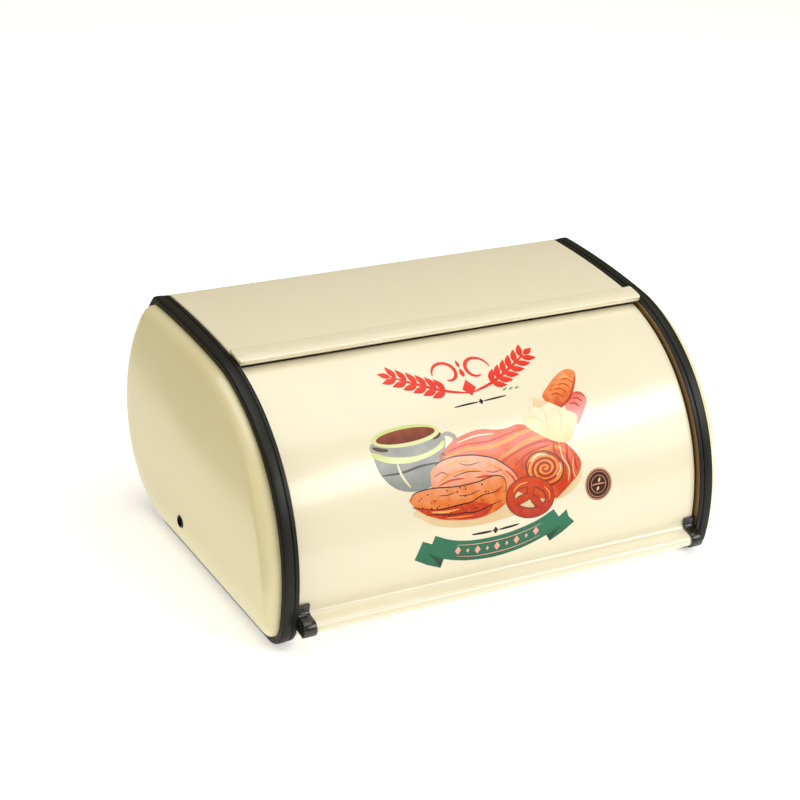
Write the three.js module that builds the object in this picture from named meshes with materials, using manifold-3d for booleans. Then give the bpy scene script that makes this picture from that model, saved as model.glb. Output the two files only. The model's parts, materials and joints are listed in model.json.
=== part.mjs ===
// A bread box with a roll-top lid. Units are millimetres. +Z is up, +X is the right-hand end, the
// lid faces -Y, and the origin is the middle of the base, on the surface that the box stands on.
import * as THREE from 'three';
import Module from 'manifold-3d';

const wasm = await Module();
wasm.setup();

// ---------------------------------------------------------------- driving dimensions
const WIDTH = 340;             // over the two domed ends
const HOOP_OUTER_X = 158.4;    // outer side of each black hoop
const HOOP_WIDTH = 10.2;
const HOOP_DEPTH = 4.6;        // how far a hoop reaches in from its outline
const HOOP_LIP = { width: 1.6, depth: 1.4 };  // ledge of the hoop over the end's flange
const FRONT_Y = -107.5;        // foremost point of the hoops
const GAP = 0.3;               // clearance between pieces that touch
const SHEET = 0.6;             // steel sheet of the body and the lid
const PANEL = 1.0;             // pressed steel of the ends and the lid arms

// Side outline of the hoops: arcs that follow each other from the floor round the back, over the
// top and down the front to the floor again. Directions are in degrees: -90 faces down, 0 faces
// backwards, 90 faces up and 180 faces forwards.
const LOW_BACK = { radius: 54.5, to: -30 };
const TOP_CORNER = { radius: 7.5, to: 86.8 };
const TOP = { radius: 631, to: 95.2 };
const SHOULDER = { radius: 71, to: 105.3 };
const FRONT = { radius: 123, to: 185.8 };
const FOOT = { radius: 16, to: 270 };
const BACK_TO = 36.8;

const LID_R = 118.4;           // outside of the lid, about its pivot
const LID_HALF = 146.8;        // half the lid's width
const LID_TOP = 101.4;         // direction of the lid's hidden top edge
const LID_BOTTOM = 180;        // direction where the lid flares out into its lip
const HEM = 5;                 // stiffening flange along the lid's top edge
const HEM_BEND = 1;
const FLARE = { radius: 4.8, turn: 82, run: 4.4 };
const ROLL = { radius: 4, turn: 215 };

const BODY_INSET = 0.4;        // the body sheet lies this far inside the outline
const BODY_HALF = 147.9;
const BODY_FLANGE = 7;         // depth of the flanges along the sheet's two sides
const BODY_LOW_END = -60;      // direction that the sheet faces where it ends under the back
const BODY_FRONT_END = 98;     // and where it ends inside the bead
const BEAD = { front: 102.2, back: 97.2, low: 121.8, over: 123.4, top: 125.8, half: 149.2 };

const FLOOR_INSET = 1.6;
const FLOOR_HALF = 146.2;
const FLOOR_FLANGE = 7;
const FLOOR_FRONT_R = 11;      // bend at the front of the floor
const FLOOR_LIP = 7;           // upright edge behind the lid
const FLOOR_END = -58;         // direction that the floor faces where it ends under the back

const DOME_SIDE = 8.5;         // how far the dome's edge pulls in at the top, back and front
const DOME_BELOW = 29;         // and underneath
const FLANGE_X = 148.5;        // inner side of the end's flange, beside the lid
const PIN_R = 2.5;
const BORE_R = 2.85;
const BUSH_NOSE_R = 4;
const BUSH_R = 7;
const WASHER_R = 6;
const PIN_HEAD_R = 5;
const ARM_OUTER_X = 146.3;
const ARM_SPAN = [127, 169];   // directions between which an arm meets the lid
const ARM_TAB = 11;            // width of the tab that is welded to the lid
const EYE_R = 9;
const EYE_TURN = 75;           // from an arm's side to where it meets its round eye
const CLIP_INNER_X = 139.6;
const CLIP_OUTER_X = 147.9;
const CLIP_TOP = 178.6;        // direction of the clip's top edge on the lid
const CLIP_WALL = 1.2;
const CLIP_BACK = { depth: 2, to: 186 };  // the clip's cheek reaches in behind the lid
const RIVET_XS = [-120, -40, 40, 120];
const RIVET_AT = -72;          // direction of the seam rivets under the back

// ---------------------------------------------------------------- finishes
const cream = () => new THREE.MeshStandardMaterial({ color: 0xeee4c4, roughness: 0.25, metalness: 0.0 });
const black = () => new THREE.MeshStandardMaterial({ color: 0x1c1d1a, roughness: 0.45, metalness: 0.0 });
const zinc = () => new THREE.MeshStandardMaterial({ color: 0xa9abac, roughness: 0.35, metalness: 1.0 });

// ---------------------------------------------------------------- outline
const rad = THREE.MathUtils.degToRad;
const facing = (angle) => ({ y: Math.cos(rad(angle)), z: Math.sin(rad(angle)) });
const along = (p, angle, distance) => ({
  y: p.y + facing(angle).y * distance,
  z: p.z + facing(angle).z * distance,
});

// The back arc's radius closes the outline in height.
const rise = (arc, from) => arc.radius * (facing(arc.to).z - facing(from).z);
const otherRise = rise(LOW_BACK, -90) + rise(TOP_CORNER, BACK_TO) + rise(TOP, TOP_CORNER.to)
  + rise(SHOULDER, TOP.to) + rise(FRONT, SHOULDER.to) + rise(FOOT, FRONT.to);
const BACK = { radius: -otherRise / (facing(BACK_TO).z - facing(LOW_BACK.to).z), to: BACK_TO };

// Centres of the arcs, found from the front arc backwards and forwards. The front arc's centre is
// the lid's pivot.
const step = (centre, radius, nextRadius, angle) => along(centre, angle, radius - nextRadius);
const FOOT_RISE = (FRONT.radius - FOOT.radius) * -facing(FRONT.to).z;
const PIVOT = { y: FRONT_Y + FRONT.radius, z: FOOT.radius + FOOT_RISE };
const centres = { front: PIVOT };
centres.foot = step(centres.front, FRONT.radius, FOOT.radius, FRONT.to);
centres.shoulder = step(centres.front, FRONT.radius, SHOULDER.radius, SHOULDER.to);
centres.top = step(centres.shoulder, SHOULDER.radius, TOP.radius, TOP.to);
centres.corner = step(centres.top, TOP.radius, TOP_CORNER.radius, TOP_CORNER.to);
centres.back = step(centres.corner, TOP_CORNER.radius, BACK.radius, BACK.to);
centres.lowBack = step(centres.back, BACK.radius, LOW_BACK.radius, LOW_BACK.to);
const outline = [
  { centre: centres.lowBack, radius: LOW_BACK.radius, from: -90, to: LOW_BACK.to },
  { centre: centres.back, radius: BACK.radius, from: LOW_BACK.to, to: BACK.to },
  { centre: centres.corner, radius: TOP_CORNER.radius, from: BACK.to, to: TOP_CORNER.to },
  { centre: centres.top, radius: TOP.radius, from: TOP_CORNER.to, to: TOP.to },
  { centre: centres.shoulder, radius: SHOULDER.radius, from: TOP.to, to: SHOULDER.to },
  { centre: centres.front, radius: FRONT.radius, from: SHOULDER.to, to: FRONT.to },
  { centre: centres.foot, radius: FOOT.radius, from: FRONT.to, to: FOOT.to },
];

const arcAt = (angle) => outline.find((arc) => angle <= arc.to + 1e-9);
const outlinePoint = (angle, inset = 0) => {
  const arc = arcAt(angle);
  return along(arc.centre, angle, arc.radius - inset);
};

// Directions from one angle to another along the outline, in steps short enough for each arc.
function outlineAngles(from, to, maxTurn = 7, maxRun = 16) {
  const angles = [];
  for (const arc of outline) {
    const start = Math.max(arc.from, from);
    const end = Math.min(arc.to, to);
    if (end <= start) continue;
    const run = arc.radius * rad(end - start);
    const steps = Math.max(1, Math.ceil(Math.max((end - start) / maxTurn, run / maxRun)));
    for (let i = 0; i < steps; i += 1) angles.push(start + ((end - start) * i) / steps);
  }
  angles.push(to);
  return angles;
}

// Inner outlines: the outline pulled in by an inset that may depend on direction, with its corners
// kept round. They are found from support distances about a core point, so that all of them have
// one point on each of the same rays and can be lofted.
const CORE = { y: 0, z: 72 };
const FLAT_STEPS = 6;
const faceAngles = outlineAngles(-90, 270, 3, 1e9);
const support = faceAngles.map((angle) => {
  const p = outlinePoint(angle);
  return (p.y - CORE.y) * facing(angle).y + (p.z - CORE.z) * facing(angle).z;
});
const flatEnds = [outlinePoint(270), outlinePoint(-90)];
const rays = outlineAngles(-90, 270).map((angle) => outlinePoint(angle));
for (let i = 1; i < FLAT_STEPS; i += 1) {
  rays.push({ y: THREE.MathUtils.lerp(flatEnds[0].y, flatEnds[1].y, i / FLAT_STEPS), z: 0 });
}
const rayAngles = rays.map((p) => (Math.atan2(p.z - CORE.z, p.y - CORE.y) * 180) / Math.PI);
const denseAngles = Array.from({ length: 720 }, (_, i) => i / 2);

function reach(distances, angle) {
  let best = Infinity;
  faceAngles.forEach((face, i) => {
    const c = Math.cos(rad(angle - face));
    if (c > 1e-3) best = Math.min(best, distances[i] / c);
  });
  return best;
}

function innerOutline(inset, rounding = 0) {
  const insetAt = typeof inset === 'function' ? inset : () => inset;
  let distances = support.map((d, i) => d - insetAt(faceAngles[i]) - rounding);
  if (rounding > 0) {
    const points = denseAngles.map((angle) => [angle, reach(distances, angle)]);
    distances = faceAngles.map((face) => rounding
      + Math.max(...points.map(([angle, r]) => r * Math.cos(rad(angle - face)))));
  }
  return rayAngles.map((angle) => along(CORE, angle, reach(distances, angle)));
}

// ---------------------------------------------------------------- mesh helpers
function closedGeometry(points, triangles) {
  let volume = 0;
  for (const [a, b, c] of triangles) {
    volume += points[a].dot(new THREE.Vector3().crossVectors(points[b], points[c])) / 6;
  }
  const index = triangles.flatMap(([a, b, c]) => (volume > 0 ? [a, b, c] : [a, c, b]));
  const geometry = new THREE.BufferGeometry();
  geometry.setFromPoints(points);
  geometry.setIndex(index);
  return geometry;
}

// Rings of equal length, joined in order. A loop of rings closes on itself like a tyre; otherwise
// each end is closed by a fan about the ring's core point.
function loft(rings, { loop = false } = {}) {
  const n = rings[0].length;
  const points = rings.flat();
  const triangles = [];
  const last = loop ? rings.length : rings.length - 1;
  for (let k = 0; k < last; k += 1) {
    const a = k * n;
    const b = ((k + 1) % rings.length) * n;
    for (let i = 0; i < n; i += 1) {
      const j = (i + 1) % n;
      triangles.push([a + i, a + j, b + j], [a + i, b + j, b + i]);
    }
  }
  if (!loop) {
    for (const [k, flip] of [[0, false], [rings.length - 1, true]]) {
      const hub = points.length;
      points.push(new THREE.Vector3(rings[k][0].x, CORE.y, CORE.z));
      for (let i = 0; i < n; i += 1) {
        const pair = [k * n + i, k * n + ((i + 1) % n)];
        triangles.push(flip ? [hub, ...pair] : [hub, pair[1], pair[0]]);
      }
    }
  }
  return closedGeometry(points, triangles);
}

// A section of [x, inset] corners carried along a path of { y, z, angle } stations.
function sweep(section, path) {
  const n = section.length;
  const points = [];
  for (const station of path) {
    for (const [x, inset] of section) {
      const p = along(station, station.angle, -inset);
      points.push(new THREE.Vector3(x, p.y, p.z));
    }
  }
  const triangles = [];
  for (let k = 0; k < path.length - 1; k += 1) {
    for (let i = 0; i < n; i += 1) {
      const j = (i + 1) % n;
      const [a, b] = [k * n, (k + 1) * n];
      triangles.push([a + i, a + j, b + j], [a + i, b + j, b + i]);
    }
  }
  const corners = section.map(([x, inset]) => new THREE.Vector2(x, inset));
  const faces = THREE.ShapeUtils.triangulateShape(corners, []);
  const clockwise = THREE.ShapeUtils.isClockWise(corners);
  const end = (path.length - 1) * n;
  for (const [a, b, c] of faces) {
    triangles.push(clockwise ? [a, b, c] : [a, c, b]);
    triangles.push(clockwise ? [end + a, end + c, end + b] : [end + a, end + b, end + c]);
  }
  return orientCaps(points, triangles, n, path.length);
}

// The caps of a sweep must run against the sides they meet; if they don't, they are turned over.
function orientCaps(points, triangles, n, count) {
  const sideCount = (count - 1) * n * 2;
  const edges = new Set();
  triangles.slice(0, sideCount).forEach(([a, b, c]) => {
    [[a, b], [b, c], [c, a]].forEach(([p, q]) => edges.add(`${p}_${q}`));
  });
  const caps = triangles.slice(sideCount).map(([a, b, c]) => {
    const clashes = [[a, b], [b, c], [c, a]].some(([p, q]) => edges.has(`${p}_${q}`));
    return { face: [a, b, c], clashes, first: a < n };
  });
  for (const first of [true, false]) {
    const group = caps.filter((cap) => cap.first === first);
    if (group.some((cap) => cap.clashes)) group.forEach((cap) => { cap.face.reverse(); });
  }
  return closedGeometry(points, [...triangles.slice(0, sideCount), ...caps.map((cap) => cap.face)]);
}

// A side view given as [y, z] corners, or as a THREE.Shape, extruded from x0 to x1.
function extrudeX(profile, x0, x1) {
  const shape = profile instanceof THREE.Shape
    ? profile
    : new THREE.Shape(profile.map((p) => new THREE.Vector2(p.y, p.z)));
  const geometry = new THREE.ExtrudeGeometry(shape, { depth: x1 - x0, bevelEnabled: false });
  const basis = new THREE.Matrix4().makeBasis(
    new THREE.Vector3(0, 1, 0), new THREE.Vector3(0, 0, 1), new THREE.Vector3(1, 0, 0));
  return geometry.applyMatrix4(basis).translate(x0, 0, 0);
}

// A turned piece on the pivot axis, from [x, radius] corners of its half section.
const TURN_SIDES = 32;

function turned(section) {
  const profile = section.map(([x, r]) => new THREE.Vector2(r, x));
  const geometry = new THREE.LatheGeometry([...profile, profile[0].clone()], TURN_SIDES);
  return geometry.rotateZ(-Math.PI / 2).translate(0, PIVOT.y, PIVOT.z);
}

// A round cutter on the pivot axis that passes right through what lies between x0 and x1.
const bore = (x0, x1, r) => turned([[x0 - GAP, 0], [x0 - GAP, r], [x1 + GAP, r], [x1 + GAP, 0]]);

function solid(geometry) {
  const position = geometry.getAttribute('position');
  const keys = new Map();
  const vertices = [];
  const remap = [];
  for (let i = 0; i < position.count; i += 1) {
    const p = [position.getX(i), position.getY(i), position.getZ(i)];
    const key = p.map((v) => Math.round(v * 1e4)).join(' ');
    if (!keys.has(key)) {
      keys.set(key, vertices.length / 3);
      vertices.push(...p);
    }
    remap.push(keys.get(key));
  }
  const order = geometry.index ? Array.from(geometry.index.array) : remap.map((_, i) => i);
  const triVerts = [];
  for (let i = 0; i < order.length; i += 3) {
    const [a, b, c] = [remap[order[i]], remap[order[i + 1]], remap[order[i + 2]]];
    if (a !== b && b !== c && c !== a) triVerts.push(a, b, c);
  }
  const mesh = new wasm.Mesh({
    numProp: 3,
    vertProperties: new Float32Array(vertices),
    triVerts: new Uint32Array(triVerts),
  });
  return new wasm.Manifold(mesh);
}

function geometryOf(manifold) {
  const mesh = manifold.getMesh();
  const geometry = new THREE.BufferGeometry();
  geometry.setAttribute('position', new THREE.BufferAttribute(mesh.vertProperties, 3));
  geometry.setIndex(new THREE.BufferAttribute(mesh.triVerts, 1));
  return geometry;
}

// The same piece at the other end of the box.
const mirrored = (geometry) => geometryOf(solid(geometry).mirror([1, 0, 0]));

// ---------------------------------------------------------------- hoops
// Cross-section of a hoop: a crowned band, a groove, and a lip beside the lid that covers the edge
// of the end's flange.
const HOOP_INNER_X = HOOP_OUTER_X - HOOP_WIDTH;
const hoopSection = [
  [HOOP_OUTER_X, HOOP_DEPTH], [HOOP_OUTER_X, 1.6], [HOOP_OUTER_X - 0.6, 0.5], [HOOP_OUTER_X - 1.9, 0],
  [HOOP_OUTER_X - 5.4, 0], [HOOP_OUTER_X - 6.4, 0.25], [HOOP_OUTER_X - 6.6, 1],
  [HOOP_OUTER_X - 7.2, 1], [HOOP_OUTER_X - 7.4, 0.35], [HOOP_OUTER_X - 9.4, 0.35],
  [HOOP_INNER_X, 0.7], [HOOP_INNER_X, HOOP_LIP.depth],
  [HOOP_INNER_X + HOOP_LIP.width, HOOP_LIP.depth], [HOOP_INNER_X + HOOP_LIP.width, HOOP_DEPTH],
];
const HOOP_INNER_ROUNDING = 4;

function hoop() {
  const rings = hoopSection.map(([x, inset]) => {
    const rounding = inset === HOOP_DEPTH ? HOOP_INNER_ROUNDING : 0;
    return innerOutline(inset, rounding).map((p) => new THREE.Vector3(x, p.y, p.z));
  });
  return loft(rings, { loop: true });
}

// ---------------------------------------------------------------- domed ends
// A pressed pan: a flange stands against the hoop's inner side, and its wall passes through the
// hoop, then rounds over into a flat face.
const PAN_INSET = HOOP_DEPTH + GAP;
const DOME_STEPS = 6;
const DOME_ROUNDING = 12;

function endPanel() {
  const faceX = WIDTH / 2;
  const bulge = faceX - HOOP_OUTER_X;
  const pullIn = (angle) => {
    const down = Math.max(0, -facing(angle).z) ** 2;
    return THREE.MathUtils.lerp(DOME_SIDE, DOME_BELOW, down);
  };
  const skin = (thickness) => {
    const rings = [[FLANGE_X + PANEL - thickness, () => PAN_INSET + thickness, HOOP_INNER_ROUNDING]];
    for (let i = 0; i <= DOME_STEPS; i += 1) {
      const a = (i / DOME_STEPS) * (Math.PI / 2);
      const curl = 1 - Math.cos(a);
      rings.push([
        HOOP_OUTER_X + (bulge - thickness) * Math.sin(a),
        (angle) => PAN_INSET + thickness + curl * (pullIn(angle) - thickness / 2),
        THREE.MathUtils.lerp(HOOP_INNER_ROUNDING, DOME_ROUNDING, curl),
      ]);
    }
    return rings.map(([x, inset, rounding]) => innerOutline(inset, rounding)
      .map((p) => new THREE.Vector3(x, p.y, p.z)));
  };
  const flangeEdge = [FLANGE_X + PANEL, FLANGE_X].map((x) => innerOutline(HOOP_LIP.depth + GAP)
    .map((p) => new THREE.Vector3(x, p.y, p.z)));
  const pan = loft([...skin(0).reverse(), ...flangeEdge, ...skin(PANEL)]);
  const hole = bore(HOOP_OUTER_X, faceX, BUSH_NOSE_R + GAP);
  return geometryOf(solid(pan).subtract(solid(hole)));
}

// ---------------------------------------------------------------- body sheet
function bodySheet() {
  const low = BODY_INSET + SHEET;
  const deep = BODY_INSET + BODY_FLANGE;
  const [w, v] = [BODY_HALF, BODY_HALF - SHEET];
  const section = [[-w, BODY_INSET], [w, BODY_INSET], [w, deep], [v, deep], [v, low], [-v, low],
    [-v, deep], [-w, deep]];
  const path = outlineAngles(BODY_LOW_END, BODY_FRONT_END)
    .map((angle) => ({ ...outlinePoint(angle), angle }));
  return solid(sweep(section, path));
}

// The bead is the sheet's front edge rolled over into a flattened tube. Between the hoops it hangs
// close above the lid; its two ends lie on top of the hoops' lips.
const BEAD_STEPS = 9;

function bead() {
  const tube = (lowR, half) => {
    const thickness = BEAD.top - lowR;
    const middle = (BEAD.top + lowR) / 2;
    const front = along(PIVOT, BEAD.front, middle);
    const back = along(PIVOT, BEAD.back, middle);
    const shape = new THREE.Shape();
    const turn = rad((BEAD.front + BEAD.back) / 2);
    shape.absarc(front.y, front.z, thickness / 2, turn, turn + Math.PI, false);
    shape.absarc(back.y, back.z, thickness / 2, turn + Math.PI, turn + 2 * Math.PI, false);
    return solid(extrudeX(new THREE.Shape(shape.getPoints(BEAD_STEPS)), -half, half));
  };
  return tube(BEAD.low, BODY_HALF).add(tube(BEAD.over, BEAD.half));
}

// ---------------------------------------------------------------- floor
const FLOOR_BEND_STEPS = 6;

function floorPath() {
  const path = outlineAngles(-90, FLOOR_END).reverse()
    .map((angle) => ({ ...outlinePoint(angle, FLOOR_INSET), angle }));
  const bend = { y: centres.foot.y, z: FLOOR_INSET + FLOOR_FRONT_R };
  for (let i = 0; i <= FLOOR_BEND_STEPS; i += 1) {
    const angle = -90 - (90 * i) / FLOOR_BEND_STEPS;
    path.push({ ...along(bend, angle, FLOOR_FRONT_R), angle });
  }
  const lipTop = { y: bend.y - FLOOR_FRONT_R, z: bend.z + FLOOR_LIP };
  path.push({ ...lipTop, angle: -180 });
  return path;
}

function floorPanel() {
  const [w, v] = [FLOOR_HALF, FLOOR_HALF - SHEET];
  const section = [[-w, 0], [w, 0], [w, FLOOR_FLANGE], [v, FLOOR_FLANGE], [v, SHEET], [-v, SHEET],
    [-v, FLOOR_FLANGE], [-w, FLOOR_FLANGE]];
  return solid(sweep(section, floorPath()));
}

// Seam rivets through the body sheet and the floor, under the back.
const RIVET_R = 2;
const RIVET_HEAD_R = 3.6;
const RIVET_HEAD = 0.9;
const RIVET_SIDES = 16;

function rivetAt(x, shankR, headR) {
  const span = FLOOR_INSET + SHEET;
  const profile = [[0, -span - GAP - RIVET_HEAD], [headR, -span - GAP - RIVET_HEAD],
    [headR, -span - GAP], [shankR, -span - GAP], [shankR, 0], [0, 0]];
  const geometry = new THREE.LatheGeometry(profile.map(([r, h]) => new THREE.Vector2(r, h)), RIVET_SIDES);
  const p = outlinePoint(RIVET_AT);
  return geometry.rotateX(rad(RIVET_AT)).translate(x, p.y, p.z);
}

// ---------------------------------------------------------------- lid
// The lid's outer surface in side view: an inward hem at its hidden top edge, the curved front, a
// flare outwards and a rolled lip. Each station has the direction that the surface faces.
const LID_STEPS = { hem: 3, front: 30, flare: 7, roll: 14 };

function lidPath(from = 'hem') {
  const stations = [];
  let p = along(PIVOT, LID_TOP, LID_R);
  let angle = LID_TOP;
  const bend = (radius, to, steps) => {
    const centre = along(p, angle, -radius);
    const start = angle;
    for (let i = 1; i <= steps; i += 1) {
      angle = start + ((to - start) * i) / steps;
      p = along(centre, angle, radius);
      stations.push({ ...p, angle });
    }
  };
  const run = (length) => {
    p = along(p, angle + 90, length);
    stations.push({ ...p, angle });
  };
  if (from === 'hem') {
    const hemAngle = LID_TOP - 90;
    const corner = along(p, LID_TOP, -HEM_BEND);
    const edge = along(along(corner, hemAngle, HEM_BEND), LID_TOP, -HEM);
    stations.push({ ...edge, angle: hemAngle });
    for (let i = 0; i <= LID_STEPS.hem; i += 1) {
      const a = hemAngle + (90 * i) / LID_STEPS.hem;
      stations.push({ ...along(corner, a, HEM_BEND), angle: a });
    }
    bend(LID_R, LID_BOTTOM, LID_STEPS.front);
  } else {
    angle = CLIP_TOP;
    p = along(PIVOT, CLIP_TOP, LID_R);
    stations.push({ ...p, angle });
    bend(LID_R, LID_BOTTOM, 1);
  }
  const flareTo = LID_BOTTOM - FLARE.turn;
  bend(-FLARE.radius, flareTo, LID_STEPS.flare);
  run(FLARE.run);
  bend(ROLL.radius, flareTo + ROLL.turn, LID_STEPS.roll);
  return stations;
}

const band = (path, outer, inner) => [
  ...path.map((s) => along(s, s.angle, -outer)),
  ...path.map((s) => along(s, s.angle, -inner)).reverse(),
];

function lidSheet() {
  return extrudeX(band(lidPath(), 0, SHEET), -LID_HALF, LID_HALF);
}

// Moulded clip over the lip's end: a wall round the outside of the sheet, and a cheek at the side.
// The last part of the roll stays bare.
const BARE_STEPS = 4;

function clip() {
  const path = lidPath('clip');
  const wrap = path.slice(0, -BARE_STEPS);
  const wall = solid(extrudeX(band(wrap, -GAP - CLIP_WALL, -GAP), CLIP_INNER_X, CLIP_OUTER_X));
  const rim = wrap.map((s) => along(s, s.angle, GAP + CLIP_WALL / 2));
  const behind = [CLIP_BACK.to, CLIP_TOP].map((angle) => along(PIVOT, angle, LID_R - CLIP_BACK.depth));
  const cheekShape = [...rim, ...behind];
  const cheek = solid(extrudeX(cheekShape, LID_HALF + GAP, CLIP_OUTER_X));
  return geometryOf(wall.add(cheek));
}

// ---------------------------------------------------------------- lid arms and pivots
const ARM_STEPS = 14;

function arm() {
  const [high, low] = ARM_SPAN;
  const tabOuter = LID_R - SHEET - GAP;
  const tabInner = tabOuter - PANEL;
  const plate = new THREE.Shape();
  plate.absarc(PIVOT.y, PIVOT.z, tabOuter, rad(high), rad(low), false);
  plate.absarc(PIVOT.y, PIVOT.z, EYE_R, rad(low + EYE_TURN), rad(high - EYE_TURN + 360), false);
  const tab = new THREE.Shape();
  tab.absarc(PIVOT.y, PIVOT.z, tabOuter, rad(high), rad(low), false);
  tab.absarc(PIVOT.y, PIVOT.z, tabInner, rad(low), rad(high), true);
  const sampled = (shape) => new THREE.Shape(shape.getPoints(ARM_STEPS));
  const [x0, x1] = [ARM_OUTER_X - PANEL, ARM_OUTER_X];
  const body = solid(extrudeX(sampled(plate), x0, x1))
    .add(solid(extrudeX(sampled(tab), ARM_OUTER_X - ARM_TAB, x1)));
  return geometryOf(body.subtract(solid(bore(x0, x1, BORE_R))));
}

const BUSH_INNER_X = ARM_OUTER_X + 1.2;
const NOSE_X = WIDTH / 2 - 3.8;      // the bush's shoulder, behind the dome's lower curve
const NOSE_END_X = WIDTH / 2 - 1;

const bush = () => turned([[BUSH_INNER_X, BORE_R], [BUSH_INNER_X, BUSH_R], [NOSE_X, BUSH_R],
  [NOSE_X, BUSH_NOSE_R], [NOSE_END_X, BUSH_NOSE_R], [NOSE_END_X, BORE_R]]);
const washer = () => turned([[ARM_OUTER_X + GAP, BORE_R], [ARM_OUTER_X + GAP, WASHER_R],
  [BUSH_INNER_X - GAP, WASHER_R], [BUSH_INNER_X - GAP, BORE_R]]);
const PIN_HEAD_X = ARM_OUTER_X - PANEL - GAP;
const pin = () => turned([[PIN_HEAD_X - 1.6, 0], [PIN_HEAD_X - 1.6, PIN_HEAD_R - 0.6],
  [PIN_HEAD_X - 1, PIN_HEAD_R], [PIN_HEAD_X, PIN_HEAD_R], [PIN_HEAD_X, PIN_R],
  [NOSE_END_X - 1, PIN_R], [NOSE_END_X - 1, 0]]);

// ---------------------------------------------------------------- assembly
const box = new THREE.Group();

function place(name, geometry, material) {
  const mesh = new THREE.Mesh(geometry, material);
  mesh.name = name;
  box.add(mesh);
}

function placePair(name, geometry, material) {
  place(`right_${name}`, geometry, material());
  place(`left_${name}`, mirrored(geometry), material());
}

placePair('trim_hoop', hoop(), black);
placePair('end_panel', endPanel(), cream);

let body = bodySheet().add(bead());
let floor = floorPanel();
RIVET_XS.forEach((x) => {
  const hole = solid(rivetAt(x, RIVET_R + GAP, RIVET_R + GAP));
  body = body.subtract(hole);
  floor = floor.subtract(hole);
});
place('top_back_panel', geometryOf(body), cream());
place('floor_panel', geometryOf(floor), cream());
RIVET_XS.forEach((x, i) => {
  place(`seam_rivet_${i + 1}`, rivetAt(x, RIVET_R, RIVET_HEAD_R), zinc());
});

place('lid', lidSheet(), cream());
placePair('lid_arm', arm(), zinc);
placePair('lid_clip', clip(), black);
placePair('pivot_bush', bush(), black);
placePair('pivot_washer', washer(), zinc);
placePair('pivot_pin', pin(), zinc);

export default box;
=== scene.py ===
import json
import math

import bmesh
import bpy
import numpy as np
from mathutils import Matrix, Vector


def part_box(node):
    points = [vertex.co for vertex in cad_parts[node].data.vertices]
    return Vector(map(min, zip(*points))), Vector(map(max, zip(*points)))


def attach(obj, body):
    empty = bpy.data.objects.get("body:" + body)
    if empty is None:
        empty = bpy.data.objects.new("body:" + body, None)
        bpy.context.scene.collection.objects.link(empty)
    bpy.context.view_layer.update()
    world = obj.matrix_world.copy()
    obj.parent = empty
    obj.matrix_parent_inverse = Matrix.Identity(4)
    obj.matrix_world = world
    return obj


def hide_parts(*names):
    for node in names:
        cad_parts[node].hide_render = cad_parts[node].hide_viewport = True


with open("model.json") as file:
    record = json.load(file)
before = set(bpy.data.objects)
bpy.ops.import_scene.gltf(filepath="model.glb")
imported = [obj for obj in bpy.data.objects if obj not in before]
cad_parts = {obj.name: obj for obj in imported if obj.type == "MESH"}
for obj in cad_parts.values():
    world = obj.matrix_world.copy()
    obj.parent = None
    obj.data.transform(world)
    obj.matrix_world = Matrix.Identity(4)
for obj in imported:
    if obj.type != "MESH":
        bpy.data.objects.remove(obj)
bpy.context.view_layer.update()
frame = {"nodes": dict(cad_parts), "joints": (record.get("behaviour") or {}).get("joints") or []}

# Shapes are worked out in millimetres, in the frame's axes: +X is the right-hand end, +Y the back
# and +Z is up. Side views are (y, z) pairs, and a direction is an angle in that view: 0 faces the
# back, 90 faces up, 180 faces the front and 270 faces down.
MM = 0.001
CLOSE = 0.01    # millimetres
MERGE = 1e-6    # metres


def corners(node):
    low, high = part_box(node)
    return np.array(low) / MM, np.array(high) / MM


# -------------------------------------------- sizes from the frame
PIVOT = np.array(frame["joints"][0]["pos_m"][1:]) / MM
hoop_low, hoop_high = corners("right_trim_hoop")
HOOP_IN, HOOP_OUT = hoop_low[0], hoop_high[0]
END_X = corners("right_end_panel")[1][0]
LID_X = corners("lid")[1][0]
BEAD_X = corners("top_back_panel")[1][0]
FLOOR_X = corners("floor_panel")[1][0]
CLIP_IN, CLIP_OUT = (corner[0] for corner in corners("right_lid_clip"))
FRONT_R = PIVOT[0] - hoop_low[1]

# -------------------------------------------- sizes of the sheet metal
SHEET = 0.6
PANEL = 1.0
GAP = 0.3
LID_R = 118.4
LID_TOP, LID_BOTTOM = 102.3, 180.0
BODY_X = 147.9
BODY_START, BODY_END = -60.0, 98.0
BODY_INSET, BODY_FLANGE = 0.4, 7.4
HOOP_DEPTH = 4.6
LIP_DEPTH, LIP_WIDTH = 1.4, 1.6
FLANGE_X = 148.5
FOOT_R = 16.0


def facing(angle):
    a = np.radians(angle)
    return np.stack([np.cos(a), np.sin(a)], axis=-1)


# -------------------------------------------- side outline of the hoops
# Arcs that follow each other from the floor round the back, over the top and down the front.
# Each row is a radius and the direction where the arc ends; the back arc closes the height.
ARC_ROWS = [(54.5, -30.0), (None, 36.8), (7.5, 86.8), (631.0, 95.2), (71.0, 105.3),
            (FRONT_R, 185.8), (FOOT_R, 270.0)]
ARC_ENDS = np.array([end for _, end in ARC_ROWS])
ARC_STARTS = np.array([-90.0, *ARC_ENDS[:-1]])
RISES = facing(ARC_ENDS)[:, 1] - facing(ARC_STARTS)[:, 1]
BACK_R = -sum(r * rise for (r, _), rise in zip(ARC_ROWS, RISES) if r) / RISES[1]
ARC_RADII = np.array([r or BACK_R for r, _ in ARC_ROWS])
ARC_CENTRES = np.tile(PIVOT, (len(ARC_ROWS), 1))
ARC_CENTRES[6] = PIVOT + facing(ARC_ENDS[5]) * (FRONT_R - FOOT_R)
for i in (4, 3, 2, 1, 0):
    ARC_CENTRES[i] = ARC_CENTRES[i + 1] + facing(ARC_ENDS[i]) * (ARC_RADII[i + 1] - ARC_RADII[i])


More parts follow.
